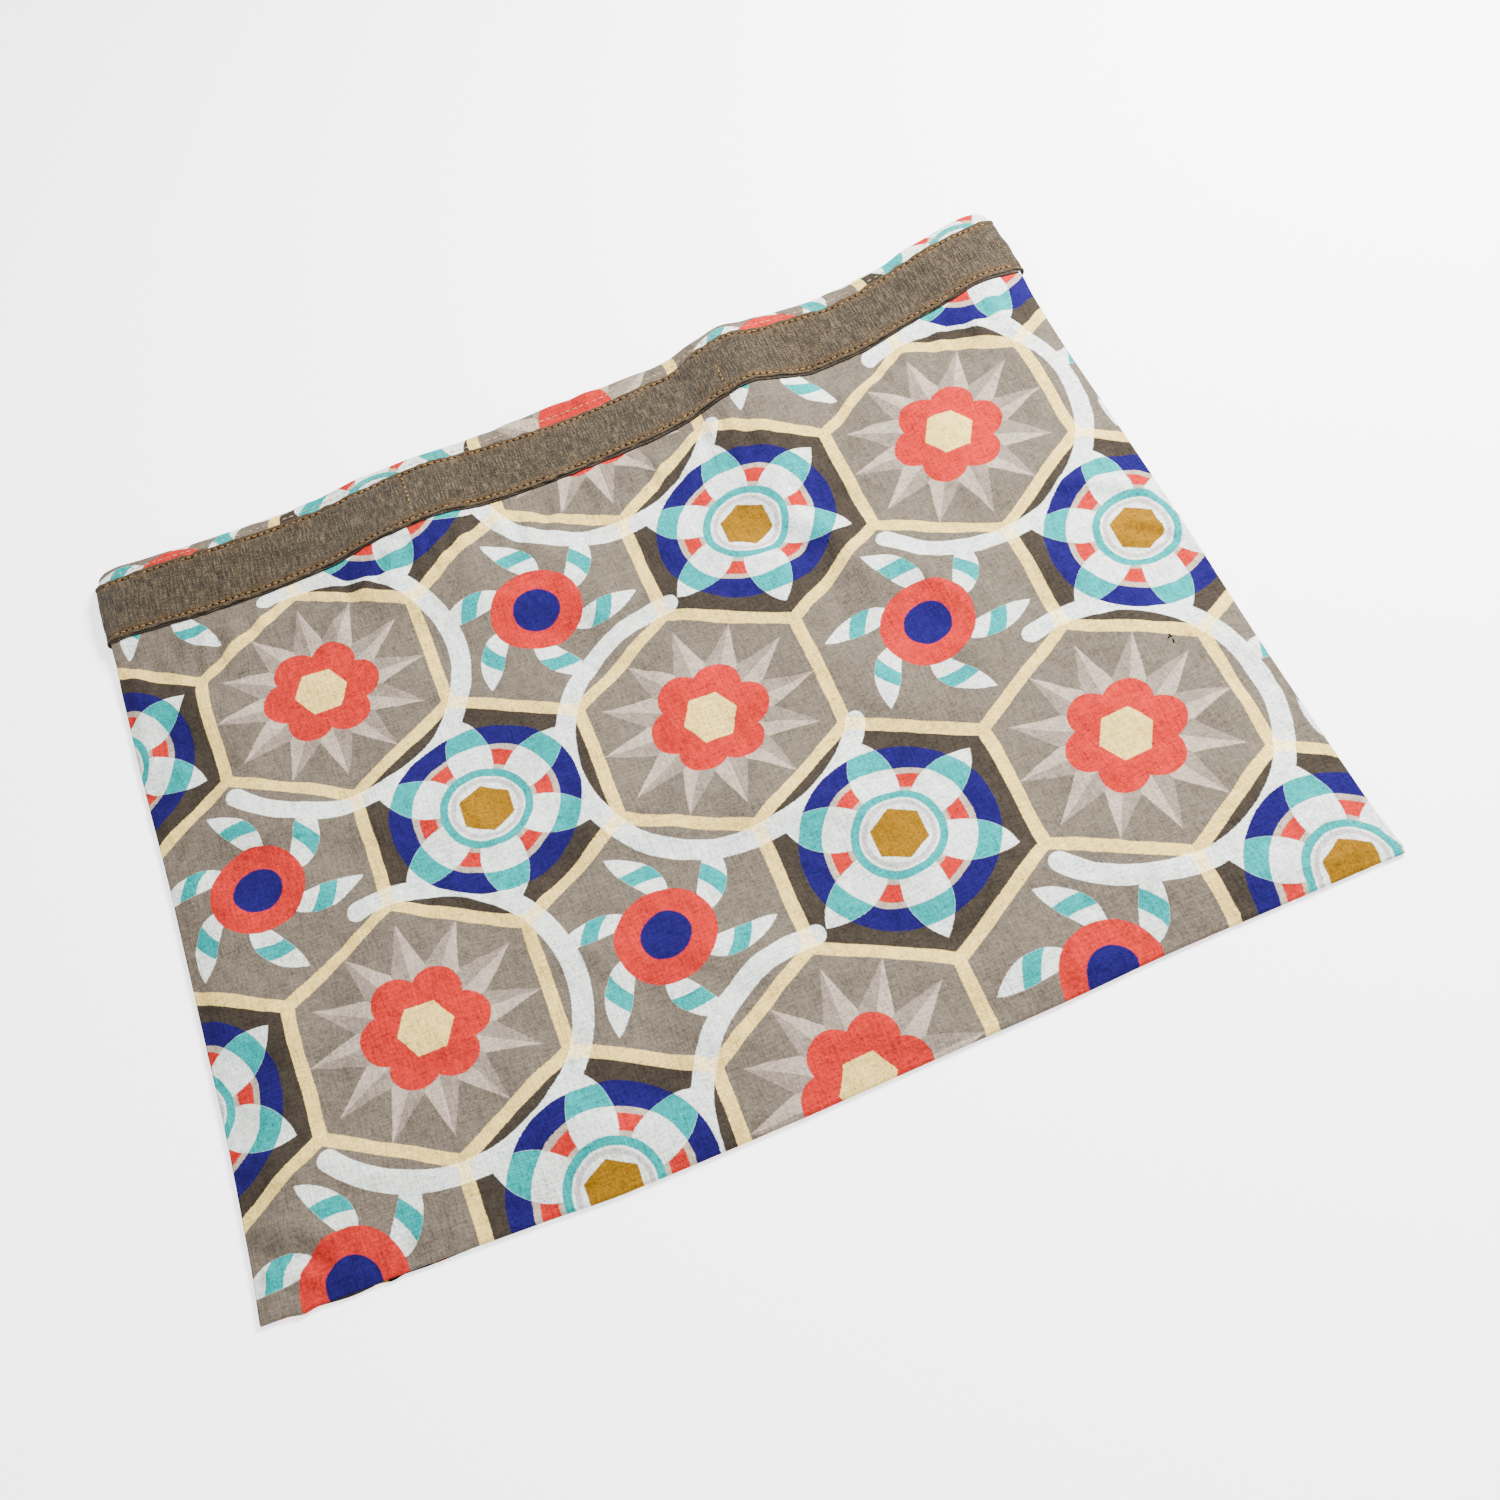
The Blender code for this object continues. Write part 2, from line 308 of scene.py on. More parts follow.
def along(table, column, at):
    """A column of a table at places between its rows, on a smooth curve that stays within them."""
    places = np.array([row[0] for row in table], float)
    values = np.array([getattr(row, column) for row in table], float)
    steps = np.diff(places)
    rises = np.diff(values) / steps
    slopes = np.empty(len(places))
    slopes[0] = rises[0]
    slopes[-1] = rises[-1]
    total = rises[:-1] + rises[1:]
    product = rises[:-1] * rises[1:]
    slopes[1:-1] = np.where(product > 0, 2 * product / np.where(total == 0, 1, total), 0)
    at = np.clip(np.asarray(at, float), places[0], places[-1])
    k = np.clip(np.searchsorted(places, at, side="right") - 1, 0, len(steps) - 1)
    t = (at - places[k]) / steps[k]
    from_start = (1 + 2 * t) * (1 - t) ** 2 * values[k] + t * (1 - t) ** 2 * steps[k] * slopes[k]
    from_end = t ** 2 * (3 - 2 * t) * values[k + 1] - t ** 2 * (1 - t) * steps[k] * slopes[k + 1]
    return from_start + from_end


def fall(distance, reach):
    """From 1 at no distance to 0 at the reach, level at both ends."""
    t = np.clip(distance / reach, 0, 1)
    return 1 - t * t * (3 - 2 * t)


def swell(distance):
    """From 0 at a seam to 1 where the cloth is level, steepest at the seam."""
    t = np.clip(distance / SWELL_RUN, 0, 1)
    return 1 - (1 - t) ** 2


def corner_inset(distance, radius):
    """How far a rounded corner draws a side in, at a distance from the side's end."""
    chord = np.clip(radius ** 2 - (radius - np.clip(distance, 0, radius)) ** 2, 0, None)
    return radius - np.sqrt(chord)


def place_x(a, b):
    from_mouth = (1 - b) * LENGTH
    from_bottom = b * LENGTH
    at_mouth = corner_inset(from_mouth, MOUTH_CORNER)
    left = along(SIDES, "left", b) + at_mouth + corner_inset(from_bottom, BOTTOM_LEFT_CORNER)
    right = along(SIDES, "right", b) - at_mouth - corner_inset(from_bottom, BOTTOM_RIGHT_CORNER)
    return left + a * (right - left)


def corner_lift(a, b):
    """How far the cloth stands off the surface near the two ends of the mouth."""
    left = LEFT_LIFT * fall(a * WIDTH, LIFT_INWARD)
    right = RIGHT_LIFT * fall((1 - a) * WIDTH, LIFT_INWARD)
    return (left + right) * fall((1 - b) * LENGTH, LIFT_DOWNWARD)


def back_level(a, b):
    """The height of the back panel's underside."""
    step = STEP_HEIGHT * fall((1 - b) * LENGTH - STEP_START, STEP_END - STEP_START)
    return step + corner_lift(a, b)


def wave(a, b):
    """The front's rise from the rim over the band's head to its foot, which dies away below the band."""
    from_mouth = (1 - b) * LENGTH
    rim, head, foot = (along(MOUTH, column, a) for column in ("rim", "head", "foot"))
    over_rim = rim + (head - rim) * np.clip(from_mouth / RIM_HEIGHT, 0, 1)
    over_band = (foot - head) * np.clip((from_mouth - RIM_HEIGHT) / BAND_HEIGHT, 0, 1)
    return (over_rim + over_band) * fall(from_mouth - BAND_FOOT, WAVE_RUN)


def front_level(a, b):
    """The height of the front panel's top."""
    seam = back_level(a, b) + CLOTH + GAP
    inside = swell(a * WIDTH) * swell((1 - a) * WIDTH) * swell(b * LENGTH)
    return seam + inside * (HOLLOW_TOP + wave(a, b) - seam) + CLOTH


def front_y(a, b):
    from_mouth = (1 - b) * LENGTH
    drift = along(MOUTH, "drift", a) * np.clip(from_mouth / RIM_HEIGHT, 0, 1)
    bottom = along(ENDS, "bottom", a)
    level = bottom + b * (along(MOUTH, "edge", a) - bottom)
    return level + drift * fall(from_mouth - BAND_FOOT, DRIFT_RUN)


def back_y(a, b):
    bottom = along(ENDS, "bottom", a)
    return bottom + b * (along(ENDS, "back", a) - bottom)


def uneven(kind, x, y):
    """Smooth seeded unevenness, made of waves in many directions."""
    chance = np.random.default_rng(kind.seed)
    x = x * kind.x_pace
    y = y * kind.y_pace
    total = np.zeros(np.broadcast(x, y).shape)
    for _ in range(WAVES):
        turn = chance.uniform(0, 2 * math.pi)
        number = 2 * math.pi / (kind.wavelength * chance.uniform(*WAVELENGTH_SPREAD))
        start = chance.uniform(0, 2 * math.pi)
        total = total + np.cos(number * (x * math.cos(turn) + y * math.sin(turn)) + start)
    return kind.depth * total / math.sqrt(WAVES / 2)


def creases(x, y):
    """The height of all the creases at places of the plan, each bent a little to one side."""
    total = np.zeros(np.broadcast(x, y).shape)
    for c in CREASES:
        run = math.hypot(c.x2 - c.x1, c.y2 - c.y1)
        ux, uy = (c.x2 - c.x1) / run, (c.y2 - c.y1) / run
        t = ((x - c.x1) * ux + (y - c.y1) * uy) / run
        off = (x - c.x1) * -uy + (y - c.y1) * ux
        off = off - c.wide * CREASE_BEND * np.sin(math.pi * np.clip(t, 0, 1))
        past = np.maximum(np.maximum(-t, t - 1), 0) * run
        ends = np.exp(-(past / (c.wide * CREASE_END)) ** 2)
        total = total + c.rise * np.exp(-(off / c.wide) ** 2) * ends
    return total


def beside_seam(from_seam, reach):
    """1 a little way in from a seam, and 0 at the seam and beyond the reach."""
    return fall(from_seam, reach) * (1 - fall(from_seam, SEAM_FADE))


def relief(x, y, a, b):
    """How far the front lies off its plain section: creases, a crumpled face and ripples by the seams."""
    from_mouth = (1 - b) * LENGTH
    from_side = np.minimum(a, 1 - a) * WIDTH
    from_bottom = b * LENGTH
    body = 1 - fall(from_mouth - BODY_START, BODY_FADE)
    inside = (1 - fall(from_side - EDGE_START, EDGE_FADE)) * (1 - fall(from_bottom - EDGE_START, EDGE_FADE))
    crumple = sum(uneven(kind, x, y) for kind in CRUMPLE)
    by_band = fall(np.abs(from_mouth - BAND_RIPPLE_MIDDLE), BAND_RIPPLE_REACH) * uneven(BAND_RIPPLES, x, y)
    by_side = beside_seam(from_side, SIDE_RIPPLE_REACH) * uneven(SIDE_RIPPLES, x, y)
    by_bottom = beside_seam(from_bottom, BOTTOM_RIPPLE_REACH) * uneven(BOTTOM_RIPPLES, x, y)
    by_mouth = fall(from_mouth, RIM_HEIGHT) * uneven(RIM_RIPPLES, x, y)
    over_body = (creases(x, y) + crumple + by_band) * inside + by_side + by_bottom
    return over_body * body + by_mouth


def spaced(start, end, step):
    """Evenly spaced places from the start to the end, about a step apart."""
    count = max(int(round(abs(end - start) / step)), 1)
    return np.linspace(start, end, count + 1)


def added(name, data):
    """A new object in the scene."""
    made = bpy.data.objects.new(name, data)
    bpy.context.scene.collection.objects.link(made)
    return made


def new_object(name, vertices, faces, uv=None):
    """A smooth mesh object from points in millimetres, with a map of their places on the flat cloth."""
    mesh = bpy.data.meshes.new(name)
    mesh.from_pydata((np.asarray(vertices, float) * MM).tolist(), [], faces)
    if uv is not None:
        layer = mesh.uv_layers.new(name="cloth")
        corner = np.zeros(len(mesh.loops), np.int32)
        mesh.loops.foreach_get("vertex_index", corner)
        layer.data.foreach_set("uv", np.asarray(uv, float)[corner].astype(np.float32).ravel())
    mesh.shade_smooth()
    return added(name, mesh)


def grid_object(name, points, uv, flip=False, ring=False, tube=False):
    """A mesh over a table of points. A ring closes along the first index and a tube along the second."""
    across, up = points.shape[:2]
    i = np.arange(across if ring else across - 1)
    j = np.arange(up if tube else up - 1)
    i, j = (m.ravel() for m in np.meshgrid(i, j, indexing="ij"))
    next_i = (i + 1) % across
    next_j = (j + 1) % up
    corners = [i * up + j, next_i * up + j, next_i * up + next_j, i * up + next_j]
    faces = np.stack(corners[::-1] if flip else corners, axis=1)
    return new_object(name, points.reshape(-1, 3), faces.tolist(), uv.reshape(-1, 2))


# Panels
def edge_columns():
    """For each column of a panel, its place from the left side and how far round the side's roll it lies."""
    left = [(ROLL, -turn) for turn in ROLL_TURNS]
    middle = [(s, 0.0) for s in spaced(ROLL, WIDTH - ROLL, GRID)]
    right = [(WIDTH - ROLL, turn) for turn in ROLL_TURNS[::-1]]
    return np.array(left + middle + right)


def edge_rows(step):
    """For each row, its place from the mouth, its turn round the bottom's roll and its turn round the hem."""
    mouth = RIM_THICKNESS / 2
    bottom = [(LENGTH - ROLL, turn, 0.0) for turn in ROLL_TURNS]
    body = [(d, 0.0, 0.0) for d in spaced(LENGTH - ROLL, UNDER_BAND_START, step)]
    under_band = [(d, 0.0, 0.0) for d in spaced(UNDER_BAND_START, RIM_HEIGHT, UNDER_BAND_GRID)[1:]]
    rim = [(d, 0.0, 0.0) for d in spaced(RIM_HEIGHT, mouth, RIM_GRID)[1:]]
    hem = [(mouth, 0.0, turn) for turn in HEM_TURNS]
    inside = [(d, 0.0, math.pi) for d in spaced(HEM_START, HEM_DEPTH, HEM_GRID)]
    return np.array(bottom + body + under_band + rim + hem + inside)


def panel(name, level, y_of, outward, step):
    """One panel's sheet: its face, rolled down to the seam on three sides, and its turned-in hem."""
    columns = edge_columns()
    rows = edge_rows(step)
    s, side = columns[:, 0][:, None], columns[:, 1][:, None]
    d, bottom, hem = (rows[:, k][None, :] for k in range(3))
    a = s / WIDTH + 0 * d
    b = 1 - d / LENGTH + 0 * s
    x = place_x(a, b)
    y = y_of(a, b)
    face = level(a, b)
    seam = back_level(a, b) + SEAM_LEVEL
    if outward > 0:
        face = face + relief(x, y, a, b)
        curl = np.exp(-((a * WIDTH - CURL_PLACE) / CURL_WIDE) ** 2) * fall(b * LENGTH, CURL_REACH)
        y = y - CURL_OUT * curl
    half = RIM_THICKNESS / 2
    turned_in = np.where(hem > 0, half * (1 - np.cos(hem)), 0)
    height = face - outward * turned_in
    reach = ROLL - HEM_DRAW * np.clip(turned_in, 0, 1)
    x = x + np.sign(side) * reach * np.sin(np.abs(side))
    y = y - ROLL * np.sin(bottom) + half * np.sin(hem)
    height = seam + (height - seam) * np.cos(side) * np.cos(bottom)
    across = s + side * ROLL
    down = np.where(hem > 0, -half * hem - np.where(hem >= math.pi, d - half, 0), d) + bottom * ROLL
    points = np.stack([x, y, height], axis=2)
    uv = np.stack([across + 0 * d, down + 0 * s], axis=2) / MAP_UNIT
    return grid_object(name, points, uv, flip=outward < 0)


front = panel("front_cloth", front_level, front_y, 1, GRID)


def back_cloth_y(a, b):
    """The back panel's places along the bag, drawn out where its edge shows past the front's bottom."""
    s = a * WIDTH
    shows = sum(show.by * fall(np.abs(s - show.place), show.reach) for show in BACK_SHOWS)
    return back_y(a, b) - shows * fall(b * LENGTH, BACK_SHOWS_UP)


back = panel("back_cloth", back_level, back_cloth_y, -1, BACK_GRID)


# Band
def ring_side(at, b, start, end, outward):
    """The ring's turn round one side of the bag, from its start to its end."""
    top = front_level(at, b)
    low = back_level(at, b)
    edge = place_x(at, b) + outward * RING_SIDE_GAP
    radius = (top - low) / 2 + GAP
    turns = RING_SIDE_TURNS if outward > 0 else RING_SIDE_TURNS[::-1]
    share = np.linspace(0, 1, len(turns))
    x = edge - outward * radius + outward * radius * np.cos(turns)
    y = start[1] + (end[1] - start[1]) * share
    z = (top + low) / 2 + radius * np.sin(turns)
    return np.stack([x, y, z], axis=1)


def ring_path(w):
    """The inside of the band once round the bag, w above its foot, and which part each point is."""
    b = 1 - (BAND_FOOT - w) / LENGTH
    a = spaced(RING_START, WIDTH - RING_START, RING_GRID) / WIDTH
    over = np.stack([place_x(a, b), front_y(a, b), front_level(a, b) + GAP], axis=1)
    a = spaced(RING_START, WIDTH - RING_START, RING_BACK_GRID)[::-1] / WIDTH
    below = np.stack([place_x(a, b), back_y(a, b), back_level(a, b) - GAP], axis=1)
    right = ring_side(1.0, b, over[-1], below[0], 1)
    left = ring_side(0.0, b, below[-1], over[0], -1)
    parts = (over, ON_FRONT), (right, ON_SIDE), (below, ON_BACK), (left, ON_SIDE)
    path = np.concatenate([points for points, _ in parts])
    part = np.concatenate([np.full(len(points), kind) for points, kind in parts])
    return path, part


def ring_outward(path):
    """The direction off the bag at each point of a ring, in the plane across the bag."""
    ahead = np.roll(path, -1, axis=0) - np.roll(path, 1, axis=0)
    outward = np.stack([-ahead[:, 2], np.zeros(len(path)), ahead[:, 0]], axis=1)
    return outward / np.linalg.norm(outward, axis=1)[:, None]


def band_profile():
    """The band's section once round, as (place above its foot, height off the panel), with folded edges."""
    r = STRIP / 2
    inner = [(w, 0.0) for w in (BAND_HEIGHT - r, BAND_HEIGHT * 0.5, r)]
    foot = [(r - r * math.sin(t), r - r * math.cos(t)) for t in FOLD_TURNS]
    middle = list(spaced(FACE_START, BAND_HEIGHT - FACE_START, FACE_GRID))
    face = [(w, STRIP) for w in EDGE_PLACES + middle + [BAND_HEIGHT - w for w in reversed(EDGE_PLACES)]]
    head = [(BAND_HEIGHT - r + r * math.sin(t), r + r * math.cos(t)) for t in FOLD_TURNS]
    return inner + foot + face + head


def band_dent(run, w, part):
    """How far the band's face lies below its full thickness, a run along the ring and w above its foot."""
    at_holes = 0.5 + 0.5 * np.cos(2 * math.pi * run / STITCH)
    dent = 0.0
    for row in (LOWER_ROW, UPPER_ROW):
        dent = dent + math.exp(-((w - row) / ROW_WIDE) ** 2) * (ROW_DENT + HOLE_DENT * at_holes)
    from_edge = min(w, BAND_HEIGHT - w)
    dent = dent + math.exp(-(from_edge / EDGE_WIDE) ** 2) * uneven(EDGE_WAVES, run, w)
    dent = dent - uneven(FACE_WAVES, run, w) * (part != ON_BACK)
    return dent + BACK_DENT * (part == ON_BACK)


def build_band():
    """The band as one closed ring of doubled cloth, with sunk rows and slightly wavy folds."""
    sections = []
    uv = []
    run = None
    for w, h in band_profile():
        path, part = ring_path(w)
        if run is None:
            steps = np.linalg.norm(np.roll(path, -1, axis=0) - path, axis=1)
            run = np.concatenate([[0], np.cumsum(steps)[:-1]])
        thick = np.full(len(run), h)
        if h > DENTED_FROM:
            thick = np.maximum(h - band_dent(run, w, part), THINNEST)
        thick = np.where(part == ON_BACK, np.minimum(thick, STRIP), thick)
        section = path + ring_outward(path) * thick[:, None]
        if w < FOLD_REACH or w > BAND_HEIGHT - FOLD_REACH:
            section[:, 1] += uneven(FOLD_WAVES, run, 0.0) * (part == ON_FRONT)
        sections.append(section)
        uv.append(np.stack([run, np.full(len(run), w + h)], axis=1) / MAP_UNIT)
    points = np.stack(sections, axis=1)
    return grid_object("chambray_band", points, np.stack(uv, axis=1), flip=True, ring=True, tube=True)


band = build_band()


def under_layer():
    """The band's second layer, which shows as a thin edge under its foot."""
    s = spaced(RING_START, WIDTH - RING_START, UNDER_GRID)
    a = s / WIDTH
    shows = UNDER_SHOWS + sum(uneven(kind, s, 0.0) for kind in UNDER_WAVES)
    shows = np.clip(shows, *UNDER_SHOWS_RANGE)
    sections = []
    uv = []
    for w, h in UNDER_PROFILE:
        b = 1 - (BAND_FOOT - w * np.where(w < 0, shows, 1)) / LENGTH
        sections.append(np.stack([place_x(a, b), front_y(a, b), front_level(a, b) + UNDER_LIFT + h], axis=1))
        uv.append(np.stack([s, np.full(len(s), w + UNDER_MAP)], axis=1) / MAP_UNIT)
    return grid_object("band_under_layer", np.stack(sections, axis=1), np.stack(uv, axis=1), flip=True)


under = under_layer()


# Sewing
def front_point(s, d, lift):
    """A point at a height over the front's plain section."""
    a, b = s / WIDTH, 1 - d / LENGTH
    return Vector((float(place_x(a, b)), float(front_y(a, b)), float(front_level(a, b)) + lift))


def back_point(s, d, drop):
    """A point at a depth under the back panel's underside."""
    a, b = s / WIDTH, 1 - d / LENGTH
    return Vector((float(place_x(a, b)), float(back_y(a, b)), float(back_level(a, b)) - drop))


def slope_up(s, d):
    """The direction off the front's cloth."""
    here = front_point(s, d, 0)
    across = front_point(min(s + SLOPE_RUN, WIDTH), d, 0) - here
    along_panel = front_point(s, max(d - SLOPE_RUN, 0), 0) - here
    return across.cross(along_panel).normalized()


def stitch(start, end, up, radius, vertices, faces):
    """One stitch: a short rounded length of thread that dips into the cloth at both ends."""
    ahead = (end - start).normalized()
    across = ahead.cross(up).normalized()
    off = across.cross(ahead)
    first = len(vertices)
    for share, wide, high in STITCH_SHAPE:
        centre = start.lerp(end, share) + off * high
        for k in range(STITCH_SIDES):
            turn = 2 * math.pi * k / STITCH_SIDES
            round_thread = across * math.cos(turn) + off * math.sin(turn) * STITCH_FLATTEN
            vertices.append(centre + round_thread * radius * wide)
    for ring in range(len(STITCH_SHAPE) - 1):
        low = first + ring * STITCH_SIDES
        for k in range(STITCH_SIDES):
            after = (k + 1) % STITCH_SIDES
            faces.append((low + k, low + after, low + STITCH_SIDES + after, low + STITCH_SIDES + k))
    last = first + (len(STITCH_SHAPE) - 1) * STITCH_SIDES
    faces.append(tuple(first + k for k in reversed(range(STITCH_SIDES))))
    faces.append(tuple(last + k for k in range(STITCH_SIDES)))


def hole(centre, up, radius, vertices, faces):
    """A needle hole, as a small dark disc just over the cloth: painted shade of the hole."""
    first = len(vertices)
    across = up.orthogonal().normalized()
    other = up.cross(across)
    for k in range(HOLE_SIDES):
        turn = 2 * math.pi * k / HOLE_SIDES
        vertices.append(centre + (across * math.cos(turn) + other * math.sin(turn)) * radius)
    faces.append(tuple(first + k for k in range(HOLE_SIDES)))


band_threads = ([], [])
rim_threads = ([], [])
hole_shade_discs = ([], [])


def sewn_row(places, ups, seam, threads):
    """Stitches between places about a stitch apart, with a needle hole at each where the seam has holes."""
    chance = np.random.default_rng(len(places))
    for n, (before, after) in enumerate(zip(places, places[1:])):
        up = ups[n]
        ahead = (after - before).normalized()
        sway = seam.sway if n % 2 else -seam.sway
        lean = ahead.cross(up) * sway * float(chance.uniform(*LEAN_SPREAD))
        start, end = (float(seam.bare * share) for share in chance.uniform(*BARE_SPREAD, 2))
        stitch(before + ahead * start - lean, after - ahead * end + lean, up, seam.thread, *threads)
        if seam.hole:
            hole(before + up * HOLE_LIFT, up, seam.hole, *hole_shade_discs)


def sewn_front(stations, seam, threads):
    """A row on the front or on the band's front, through places given as (s, d)."""
    places = [front_point(s, d, seam.lift) for s, d in stations]
    ups = [slope_up(s, d) for s, d in stations]
    sewn_row(places, ups, seam, threads)


def across_bag(seam):
    """Where the stitches of a row across the bag begin, from its left side."""
    return spaced(seam.end, WIDTH - seam.end, seam.step)


for row in (LOWER_ROW, UPPER_ROW):
    sewn_front([(s, BAND_FOOT - row) for s in across_bag(BAND_SEAM)], BAND_SEAM, band_threads)

across_at = spaced(0, 1, 0.002)
x_mid_band = place_x(across_at, 1 - (RIM_HEIGHT + BAND_HEIGHT / 2) / LENGTH)
for x in (-UPRIGHT_X, UPRIGHT_X):
    s = float(np.interp(x, x_mid_band, across_at)) * WIDTH
    depths = spaced(RIM_HEIGHT + UPRIGHT_SEAM.end, BAND_FOOT - UPRIGHT_SEAM.end, UPRIGHT_SEAM.step)
    sewn_front([(s, d) for d in depths], UPRIGHT_SEAM, band_threads)

sewn_front([(s, RIM_ROW) for s in across_bag(RIM_SEAM)], RIM_SEAM, rim_threads)

for row in (LOWER_ROW, UPPER_ROW):
    places = [back_point(s, BAND_FOOT - row, BACK_SEAM.lift) for s in across_bag(BACK_SEAM)]
    sewn_row(places, [Vector((0, 0, -1))] * len(places), BACK_SEAM, band_threads)

band_stitches = new_object("band_stitches", *band_threads)
rim_stitches = new_object("rim_stitches", *rim_threads)
# Painted shade: dark discs for the needle holes
needle_holes = new_object("needle_holes", *hole_shade_discs)


def on_front(x, y):
    """The point of the front's creased face over a place of the plan near the snippet."""
    left, right = float(place_x(0.0, SNIPPET_B)), float(place_x(1.0, SNIPPET_B))
    s = (x - left) / (right - left) * WIDTH
    d = float(front_y(s / WIDTH, 1.0)) - y
    here = front_point(s, d, 0.0)
    lie = float(relief(here.x, here.y, s / WIDTH, 1 - d / LENGTH))
    return here + Vector((0, 0, lie + SNIPPET_LIFT))


snippet_parts = ([], [])
for bit in SNIPPET:
    ends = on_front(bit.x1, bit.y1), on_front(bit.x2, bit.y2)
    stitch(*ends, Vector((0, 0, 1)), SNIPPET_THREAD, *snippet_parts)
snippet = new_object("thread_snippet", *snippet_parts)


# Materials
class Number:
    """A number in a shader, with the usual arithmetic."""

    def __init__(self, tree, socket):
        self.tree = tree
        self.socket = socket

    def do(self, operation, *others, clamp=False):
        node = self.tree.nodes.new("ShaderNodeMath")
        node.operation = operation
        node.use_clamp = clamp
        self.tree.links.new(self.socket, node.inputs[0])
        for k, other in enumerate(others, start=1):
            if isinstance(other, Number):
                self.tree.links.new(other.socket, node.inputs[k])
            else:
                node.inputs[k].default_value = other
        return Number(self.tree, node.outputs[0])

    def __add__(self, other):
        return self.do("ADD", other)

    def __sub__(self, other):
        return self.do("SUBTRACT", other)

    def __mul__(self, other):
        return self.do("MULTIPLY", other)

    def __truediv__(self, other):
        return self.do("DIVIDE", other)

    def __rsub__(self, other):
        return (self * -1.0) + other

    def wrapped(self, period):
        return self.do("FLOORED_MODULO", period)

    def size(self):
        return self.do("ABSOLUTE")

    def smaller(self, other):
        return self.do("MINIMUM", other)

    def larger(self, other):
        return self.do("MAXIMUM", other)

    def below(self, limit):
        return self.do("LESS_THAN", limit)

    def inside(self, softness=0.35):
        """1 where a distance is below zero and 0 where it is above, with an edge as soft as the print's."""
        return self.do("MULTIPLY_ADD", -1.0 / softness, 0.5, clamp=True)


def distance(x, y):
    """How far a place is from the middle of its motif."""
    return (x * x + y * y).do("SQRT")


def cloth_map(tree):
    """Where each point lies on the flat cloth, in map units, as a place and as its two numbers."""
    node = tree.nodes.new("ShaderNodeUVMap")
    node.uv_map = "cloth"
    parts = tree.nodes.new("ShaderNodeSeparateXYZ")
    tree.links.new(node.outputs[0], parts.inputs[0])
    return node.outputs[0], Number(tree, parts.outputs[0]), Number(tree, parts.outputs[1])


def set_inputs(node, values):
    for name, value in values.items():
        node.inputs[name].default_value = value


def turned(tree, where, turn, scale):
    """The cloth map turned and stretched, for a grain with a direction."""
    node = tree.nodes.new("ShaderNodeMapping")
    node.vector_type = "TEXTURE"
    set_inputs(node, {"Rotation": (0, 0, math.radians(turn)), "Scale": (1 / scale[0], 1 / scale[1], 1)})
    tree.links.new(where, node.inputs["Vector"])
    return node.outputs["Vector"]


def noise(tree, where, grain):
    """A noise from 0 to 1."""
    scale = grain.scale
    if isinstance(scale, tuple):
        where = turned(tree, where, grain.turn, scale)
        scale = 1.0
    node = tree.nodes.new("ShaderNodeTexNoise")
    set_inputs(node, {"Scale": scale, "Detail": grain.detail})
    set_inputs(node, {"Roughness": grain.roughness, "Distortion": grain.distortion})
    tree.links.new(where, node.inputs["Vector"])
    return Number(tree, node.outputs["Fac"])


def grains(tree, where, kinds):
    """The sum of several noises, each about 0 and as strong as its share."""
    first, *others = [(noise(tree, where, kind) - 0.5) * kind.share for kind in kinds]
    for other in others:
        first = first + other
    return first


def mixed(tree, under_colour, over_colour, mask):
    """One colour over another where the mask is 1."""
    node = tree.nodes.new("ShaderNodeMix")
    node.data_type = "RGBA"
    for socket, value in ((node.inputs[6], under_colour), (node.inputs[7], over_colour)):
        if isinstance(value, bpy.types.NodeSocket):
            tree.links.new(value, socket)
        else:
            socket.default_value = (*value, 1.0)
    tree.links.new(mask.socket, node.inputs[0])
    return node.outputs[2]


def painted(tree, colour, layers):
    """A colour with layers over it, each given as its colour and the distance to its outline."""
    for over, outline in layers:
        colour = mixed(tree, colour, over, outline.inside())
    return colour


def scaled(tree, colour, amount):
    """A colour times a number."""
    node = tree.nodes.new("ShaderNodeVectorMath")
    node.operation = "SCALE"
    tree.links.new(colour, node.inputs[0])
    tree.links.new(amount.socket, node.inputs["Scale"])
    return node.outputs[0]


# How many times as bright as its own colour the lit cloth is, which the colours below allow for
LIGHT = 4.2


def dyed(red, green, blue):
    """A colour of the cloth from the light that it gives off in the picture."""
    return tuple(min(value / LIGHT, 0.9) for value in (red, green, blue))


TAUPE = dyed(0.41, 0.335, 0.255)
BROWN = dyed(0.122, 0.096, 0.072)
CREAM = dyed(2.35, 1.68, 0.5)
BLUE = dyed(0.036, 0.022, 0.262)
LIGHT_GREY = dyed(1.2, 0.98, 0.76)
MID_GREY = dyed(0.74, 0.59, 0.47)
CORAL = dyed(1.36, 0.068, 0.052)
TURQUOISE = dyed(0.02, 0.86, 0.84)
MUSTARD = dyed(0.7, 0.33, 0.016)
WHITE = dyed(2.2, 2.36, 2.2)
FAINT = dyed(1.5, 1.4, 1.38)
ARC_OVER_LINE = dyed(3.4, 2.7, 1.35)
CHAMBRAY_DARK = dyed(0.035, 0.024, 0.012)
CHAMBRAY = dyed(0.128, 0.089, 0.048)
CHAMBRAY_LIGHT = dyed(0.45, 0.32, 0.175)
# Painted shade: the band's second layer darkened where it lies under the band's foot
SECOND_LAYER_SHADE = dyed(0.075, 0.052, 0.03)
ROW_TINT = dyed(0.3, 0.16, 0.045)
# Painted shade: the dark of the sunk grooves along the band's sewn rows
PAINTED_GROOVE_SHADE = dyed(0.03, 0.02, 0.01)
